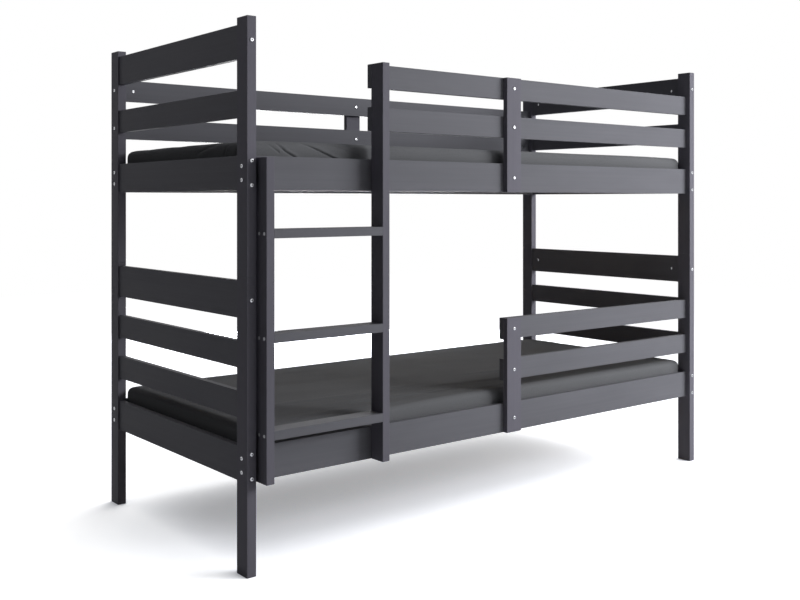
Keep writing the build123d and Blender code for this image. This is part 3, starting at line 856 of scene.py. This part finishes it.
class BUNK_OT_set_studio(bpy.types.Operator):
    """A white floor and surround, soft lamps and the camera"""
    bl_idname = "bunk.set_studio"
    bl_label = "Set the studio"

    def execute(self, context):
        settings = context.scene.bunk_studio
        scene = context.scene
        self.floor(FLOOR_HALF)
        self.world(scene, settings.surround)
        for name, place, target, size, watts in LAMPS:
            area_lamp(name, place, target, size, watts * settings.lamp_share)
        self.camera(scene, settings)
        scene.view_settings.view_transform = "Standard"
        return {"FINISHED"}

    def floor(self, half):
        """Seamless matt white vinyl, which only shows by a painted shadow on it, soft and slightly blue.
        """
        mesh = bpy.data.meshes.new("studio_floor")
        mesh.from_pydata([(-half, -half, 0), (half, -half, 0), (half, half, 0), (-half, half, 0)], [],
                         [(0, 1, 2, 3)])
        floor = bpy.data.objects.new("studio_floor", mesh)
        bpy.context.scene.collection.objects.link(floor)
        material, tree = start_material("matt_white_vinyl")
        matt = add_node(tree, "ShaderNodeBsdfDiffuse", inputs={"Color": rgba((0.6, 0.6, 0.6))})
        # Painted shadow: to the camera the floor glows white, dimmed and tinted blue where the tilted
        # ambient occlusion finds the bed
        painted_shadow_tilt = add_node(tree, "ShaderNodeCombineXYZ", inputs=PAINTED_SHADOW_TILT)
        painted_shadow_level = add_node(tree, "ShaderNodeAmbientOcclusion",
                       inputs={"Distance": SHADOW_REACH, "Normal": painted_shadow_tilt.outputs[0]})
        painted_shadow_level = add_node(tree, "ShaderNodeMath", {"operation": "POWER"},
                       {0: painted_shadow_level.outputs["AO"], 1: SHADOW_DEPTH})
        painted_shadow_level = add_node(tree, "ShaderNodeMath", {"operation": "MULTIPLY", "use_clamp": True},
                       {0: painted_shadow_level.outputs[0], 1: SHADOW_WHITE})
        tint = add_node(tree, "ShaderNodeMixRGB",
                        inputs={"Fac": painted_shadow_level.outputs[0], "Color1": rgba((0.9, 0.935, 1.0)),
                                "Color2": rgba((1.0, 1.0, 1.0))})
        glow_with_painted_shadow = add_node(tree, "ShaderNodeEmission",
                        inputs={"Color": tint.outputs["Color"], "Strength": painted_shadow_level.outputs[0]})
        white = add_node(tree, "ShaderNodeBsdfDiffuse", inputs={"Color": rgba((0.74, 0.77, 0.85))})
        shown = add_node(tree, "ShaderNodeAddShader", inputs={0: white.outputs[0], 1: glow_with_painted_shadow.outputs[0]})
        mix = add_node(tree, "ShaderNodeMixShader",
                       inputs={0: rays_that_show(tree), 1: matt.outputs[0], 2: shown.outputs[0]})
        finish_material(tree, mix.outputs[0])
        give(floor, material)

    def world(self, scene, surround):
        """Walls all round: white to the camera and in reflections, and nearly dark as light."""
        world = bpy.data.worlds.new("studio_surround")
        scene.world = world
        world.use_nodes = True
        tree = world.node_tree
        tree.nodes.clear()
        light, white = (
            add_node(tree, "ShaderNodeBackground",
                     inputs={"Color": rgba((1, 1, 1)), "Strength": strength})
            for strength in (surround, 1.0))
        mix = add_node(tree, "ShaderNodeMixShader",
                       inputs={0: rays_that_show(tree), 1: light.outputs[0], 2: white.outputs[0]})
        add_node(tree, "ShaderNodeOutputWorld", inputs={"Surface": mix.outputs[0]})

    def camera(self, scene, settings):
        """A level camera whose picture is shifted, as the photograph's uprights are parallel."""
        camera = bpy.data.cameras.new("camera")
        camera.sensor_width = 36
        camera.lens = settings.focal_length
        camera.shift_y = settings.shift_down
        camera.clip_end = 60
        holder = bpy.data.objects.new("camera", camera)
        scene.collection.objects.link(holder)
        front_left = box_of("lower_post_front_left")[0]
        back_right = box_of("lower_post_back_right")[1]
        bed_middle = (front_left + back_right) / 2
        bed_middle.z = 0
        holder.location = CAMERA_FROM_BED + bed_middle
        holder.rotation_euler = (math.pi / 2, 0, CAMERA_HEADING - math.pi / 2)
        scene.camera = holder


OPERATORS = (BUNK_OT_finish_timber, BUNK_OT_finish_hardware, BUNK_OT_build_mattresses,
             BUNK_OT_fit_sheets, BUNK_OT_lay_tapes, BUNK_OT_set_studio)
SETTINGS = {"bunk_timber": TimberSettings, "bunk_hardware": HardwareSettings,
            "bunk_bedding": BeddingSettings, "bunk_studio": StudioSettings}


class BUNK_PT_panel(bpy.types.Panel):
    """The bunk bed's sizes, colours and steps"""
    bl_idname = "BUNK_PT_panel"
    bl_label = "Bunk bed"
    bl_space_type = "VIEW_3D"
    bl_region_type = "UI"
    bl_category = "Bunk bed"

    def draw(self, context):
        for name, group in SETTINGS.items():
            column = self.layout.column(heading=name.replace("_", " "))
            settings = getattr(context.scene, name)
            for setting in group.__annotations__:
                column.prop(settings, setting)
        for operator in OPERATORS:
            self.layout.operator(operator.bl_idname)


def register():
    for name, group in SETTINGS.items():
        bpy.utils.register_class(group)
        setattr(bpy.types.Scene, name, bpy.props.PointerProperty(type=group))
    for item in (*OPERATORS, BUNK_PT_panel):
        bpy.utils.register_class(item)


def unregister():
    for item in reversed((*OPERATORS, BUNK_PT_panel)):
        bpy.utils.unregister_class(item)
    for name, group in reversed(list(SETTINGS.items())):
        delattr(bpy.types.Scene, name)
        bpy.utils.unregister_class(group)


def main():
    register()
    bpy.ops.bunk.finish_timber()
    bpy.ops.bunk.finish_hardware()
    bpy.ops.bunk.build_mattresses()
    bpy.ops.bunk.fit_sheets()
    bpy.ops.bunk.lay_tapes()
    bpy.ops.bunk.set_studio()


if __name__ == "__main__":
    main()
